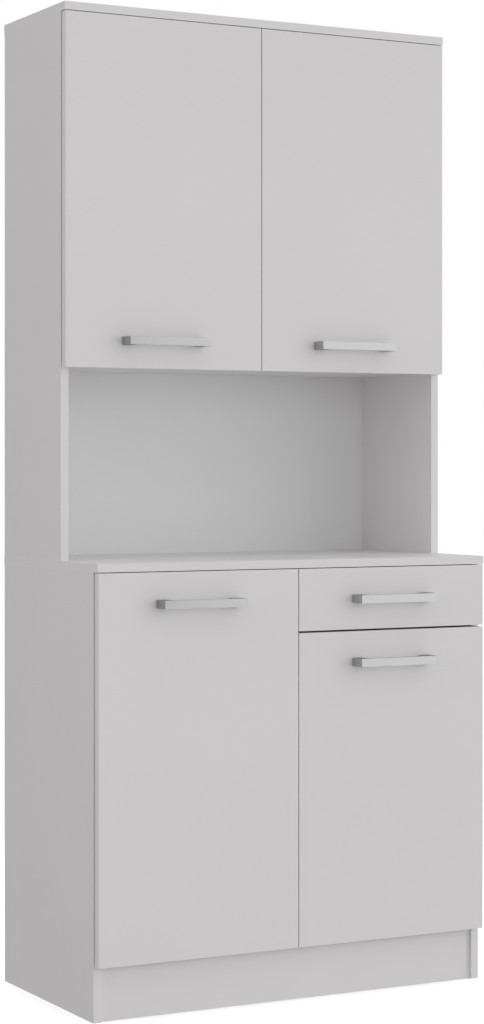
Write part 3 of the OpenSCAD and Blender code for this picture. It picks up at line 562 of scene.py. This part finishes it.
def filletCorners(corners, radii, steps):
    # Each corner of the outline becomes an arc. Its centre is the corner moved along both sides by
    # the radius, as the corners are square, and its points stand at equal angles round that centre.
    corners = np.array(corners, float)
    before = np.roll(corners, 1, 0) - corners
    after = np.roll(corners, -1, 0) - corners
    before /= np.linalg.norm(before, axis=1)[:, None]
    after /= np.linalg.norm(after, axis=1)[:, None]
    radii = np.array(radii)[:, None]
    centres = corners + (before + after) * radii
    angles = np.linspace(0, math.pi / 2, steps + 1)
    c, s = np.cos(angles)[None, :, None], np.sin(angles)[None, :, None]
    arcs = centres[:, None] - radii[:, None] * (after[:, None] * c + before[:, None] * s)
    return arcs.reshape(-1, 2)


def addHandle(node, finish):
    low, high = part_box(node)
    leg, bar = handle["legWidth"], handle["barThickness"]
    x0, x1, y0, y1 = low.x, high.x, low.y, high.y
    corners = [(x0, y0), (x1, y0), (x1, y1), (x1 - leg, y1), (x1 - leg, y0 + bar),
               (x0 + leg, y0 + bar), (x0 + leg, y1), (x0, y1)]
    outer, inner, foot = handle["outerRadius"], handle["innerRadius"], handle["footRadius"]
    radii = [outer, outer, foot, foot, inner, inner, foot, foot]
    outline = filletCorners(corners, radii, handle["arcSteps"])
    n = len(outline)
    ring = np.arange(n)
    nxt = np.roll(ring, -1)
    walls = np.column_stack([ring, nxt, nxt + n, ring + n])
    # the staple's flat faces: quads from its outer line to its inner one, from foot to foot
    step = n // len(corners)
    outside = np.roll(ring, step)[:n // 2]
    inside = ring[n // 2 - step:n - step][::-1]
    flat = np.column_stack([outside[:-1], outside[1:], inside[1:], inside[:-1]])
    points = np.vstack([np.column_stack([outline, np.full(n, z)]) for z in (low.z, high.z)])
    faces = np.vstack([walls, flat[:, ::-1], flat + n])
    piece = placeMesh(node + "Bar", points.tolist(), faces.tolist(), bodyOf[node], finish)
    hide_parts(node)
    roundEdges(piece, handle["edgeRadius"], handle["edgeSegments"], handle["edgeAngle"])


# Screws. The solids of a screw node give each screw's place, direction, length and widths.
screw = {
    "around": 36,
    "headRings": 11,
    "domeReach": (0.03, 0.94),        # first and last ring of the head's dome, in head radii
    "dome": 0.22,                     # fall of the dome at the head's radius, in head heights
    "rim": ((0.985, 1.15), (1.0, 1.6)),   # rings over the rim: in head radii, and in falls of the dome
    "crossReach": 0.66,               # the cross recess, in head radii
    "crossHalfWidth": 0.15,
    "crossWall": 0.5,                 # its sloping walls, in half widths, and twice that at its ends
    "crossDepth": 0.75,               # in head heights
    "underHead": 0.02 * mm,
    "threadFrom": 0.1 * mm,           # below the head
    "pitch": 1.25 * mm,
    "ringsPerTurn": 6,
    "threadDepth": 0.17,              # in shank radii, as the next one
    "tipLength": 2.2,
    "tipWidth": 0.12,                 # the share of the radius that is left at the tip
    "nearEnd": 0.05 * mm,             # a point this near an end of a solid counts as on it
    "sunk": "box_screws",             # the node whose heads taper down to the shank
}
# how high the heads of each screw node are, in millimetres
headHeights = {"plate_screws": 1.6, "rail_screws": 0.9, "runner_screws": 0.9, "box_screws": 2.0,
               "bracket_screws": 2.0}
headHeights.update({name: 2.4 for name in nodes if name.endswith("handle_screws")})


def solidsOf(node):
    # the points of each separate solid: points joined by an edge take the smallest number among them
    mesh = nodes[node].data
    places = np.empty(3 * len(mesh.vertices))
    mesh.vertices.foreach_get("co", places)
    places = places.reshape(-1, 3)
    ends = np.empty(2 * len(mesh.edges), int)
    mesh.edges.foreach_get("vertices", ends)
    same = np.unique(np.round(places / easing["weld"]), axis=0, return_inverse=True)[1].ravel()
    ends = same[ends].reshape(-1, 2)
    label = np.arange(same.max() + 1)
    while True:
        low = label.copy()
        np.minimum.at(low, ends[:, 0], label[ends[:, 1]])
        np.minimum.at(low, ends[:, 1], label[ends[:, 0]])
        low = low[low]
        if (low == label).all():
            break
        label = low
    return [places[label[same] == one] for one in np.unique(label)]


def screwAxis(points):
    # the longest side is the axis, and the head is at the end where the points lie widest
    low, high = points.min(0), points.max(0)
    axis = int(np.argmax(high - low))
    length = (high - low)[axis]
    centre = (low + high) / 2
    reach = np.linalg.norm(np.delete(points - centre, axis, 1), axis=1)
    atLow = reach[points[:, axis] < low[axis] + screw["nearEnd"]].max()
    atHigh = reach[points[:, axis] > high[axis] - screw["nearEnd"]].max()
    outward = np.zeros(3)
    outward[axis] = 1.0 if atHigh > atLow else -1.0
    return centre + outward * length / 2, outward, length, max(atLow, atHigh), min(atLow, atHigh)


def revolveFaces(rows, around):
    # quads between neighbouring rings, and a polygon over the first and the last ring
    ring = np.arange(around)
    nxt = np.roll(ring, -1)
    start = around * np.arange(rows - 1)[:, None]
    quads = np.stack([start + ring, start + nxt, start + around + nxt, start + around + ring], -1)
    return quads.reshape(-1, 4).tolist() + [ring[::-1].tolist(), (ring + around * (rows - 1)).tolist()]


def crossRecess(x, y, headRadius):
    # Depth from 0 to 1. A slot is the product of two ramps, (reach - distance along it) and (half
    # width - distance across it), each over the width of its wall and cut off at 0 and 1. The
    # recess is the larger of the two crossed slots.
    reach, half = screw["crossReach"] * headRadius, screw["crossHalfWidth"] * headRadius
    wall = screw["crossWall"] * half

    def slot(along, across):
        return np.clip((reach - abs(along)) / (2 * wall), 0, 1) * np.clip((half - abs(across)) / wall, 0, 1)

    return np.maximum(slot(x, y), slot(y, x))


def screwSkin(headRadius, headHeight, shankRadius, length, sunk=False):
    # Rings from the middle of the head down to the tip, the axis pointing up with the head's top at 0.
    # The dome falls with the square of the radius. The thread takes a share of the shank's radius that
    # goes with the cosine of (turns down the shank plus the angle round it), and the tip narrows evenly.
    count = screw["headRings"]
    fall = screw["dome"] * headHeight
    radii = list(np.linspace(*screw["domeReach"], count) * headRadius)
    heights = [-fall * (radius / headRadius) ** 2 for radius in radii]
    radii += [reach * headRadius for reach, drop in screw["rim"]]
    heights += [-drop * fall for reach, drop in screw["rim"]]
    radii += [shankRadius if sunk else headRadius, shankRadius]
    heights += [-headHeight, -headHeight - screw["underHead"]]
    plain = len(radii)
    steps = int((length - headHeight) / screw["pitch"] * screw["ringsPerTurn"])
    radii += [shankRadius] * steps
    heights += list(np.linspace(-headHeight - screw["threadFrom"], -length, steps))
    radii, heights = np.array(radii)[:, None], np.array(heights)[:, None]
    angle = np.linspace(0, 2 * math.pi, screw["around"], endpoint=False)[None]
    wave = 0.5 + 0.5 * np.cos(2 * math.pi * heights / screw["pitch"] + angle)
    tip = np.clip((length + heights) / (screw["tipLength"] * shankRadius), screw["tipWidth"], 1)
    threaded = (np.arange(len(radii)) >= plain)[:, None]
    radii = radii * np.where(threaded, (1 - screw["threadDepth"] * wave) * tip, 1.0)
    x, y = radii * np.cos(angle), radii * np.sin(angle)
    onTop = (np.arange(len(radii)) < count)[:, None]
    z = heights - np.where(onTop, screw["crossDepth"] * headHeight * crossRecess(x, y, headRadius), 0.0)
    return np.stack([x, y, z], -1).reshape(-1, 3), revolveFaces(len(radii), screw["around"])


def addPlaced(name, skins, placings, body, finish):
    # each skin turned so that its up direction points outward, and moved to its place
    points, faces, offset = [], [], 0
    for (skin, skinFaces), (place, outward) in zip(skins, placings):
        turn = np.array(Vector(outward).to_track_quat("Z", "Y").to_matrix())
        points.append(skin @ turn.T + np.array(place))
        faces += [[corner + offset for corner in face] for face in skinFaces]
        offset += len(skin)
    piece = placeMesh(name, np.vstack(points).tolist(), faces, body, finish)
    piece.data.shade_smooth()
    return piece


def addScrews(node, finish):
    skins, placings = [], []
    for points in solidsOf(node):
        top, outward, length, headRadius, shankRadius = screwAxis(points)
        headHeight, sunk = headHeights[node] * mm, node == screw["sunk"]
        skins.append(screwSkin(headRadius, headHeight, shankRadius, length, sunk))
        placings.append((top, outward))
    piece = addPlaced(node + "Cut", skins, placings, bodyOf[node], finish)
    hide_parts(node)


# Small screws that only the scene has: two adjusting screws in the slot of each hinge arm, and
# one in each ear of a hinge cup
adjuster = {
    "radius": 2.5 * mm,
    "height": 1.5 * mm,
    "fromFront": (36.6 * mm, 51.1 * mm),   # from the arm's front end
    "slotDepth": 3.0 * mm,
}
earScrew = {
    "radius": 3.2 * mm,
    "height": 0.7 * mm,
    "fromSide": 9.0 * mm,
    "halfPitch": 24.0 * mm,
}
# the piece of shank under their heads: its radius in head radii, and its length
stub = {"radius": 0.6, "length": 1.2 * mm}


def addHeads(name, body, size, placings, finish):
    radius, height = size["radius"], size["height"]
    skin = screwSkin(radius, height, stub["radius"] * radius, height + stub["length"])
    addPlaced(name, [skin] * len(placings), placings, body, finish)


def addHingeDetails(finish):
    # an arm reaches from its pin rearward along its side panel, so its inner face looks at the middle
    placings = []
    for points in solidsOf("hinge_arms"):
        low, high = points.min(0), points.max(0)
        inward = -1.0 if low[0] > 0 else 1.0
        face = high[0] if inward > 0 else low[0]
        x = face - inward * (adjuster["slotDepth"] - adjuster["height"])
        for rearward in adjuster["fromFront"]:
            placings.append(((x, low[1] + rearward, (low[2] + high[2]) / 2), (inward, 0, 0)))
    addHeads("hingeAdjusters", bodyOf["hinge_arms"], adjuster, placings, finish)
    for node in [name for name in nodes if name.endswith("_cups")]:
        placings = []
        for points in solidsOf(node):
            low, high = points.min(0), points.max(0)
            x = low[0] + earScrew["fromSide"] if low[0] > 0 else high[0] - earScrew["fromSide"]
            for side in (-1, 1):
                z = (low[2] + high[2]) / 2 + side * earScrew["halfPitch"]
                placings.append(((x, high[1] + earScrew["height"], z), (0, 1, 0)))
        addHeads(node + "Screws", bodyOf[node], earScrew, placings, finish)


setCamera()
setSurround()
setBoxes()
setFloor()
scene.view_settings.view_transform = "Standard"
scene.view_settings.look = "None"
print("camera and studio set")

dressBoards()
dressHardboard()
satin = metalFinish("satinPlate")
nickel = metalFinish("brightNickel")
dressHardware(nickel)

for name in ("upper_left_handle", "upper_right_handle", "lower_left_handle", "drawer_handle",
             "lower_right_handle"):
    addHandle(name, satin)
print("handles: 5")

for name in headHeights:
    addScrews(name, nickel)
addHingeDetails(nickel)
print("screws: %d nodes" % len(headHeights))
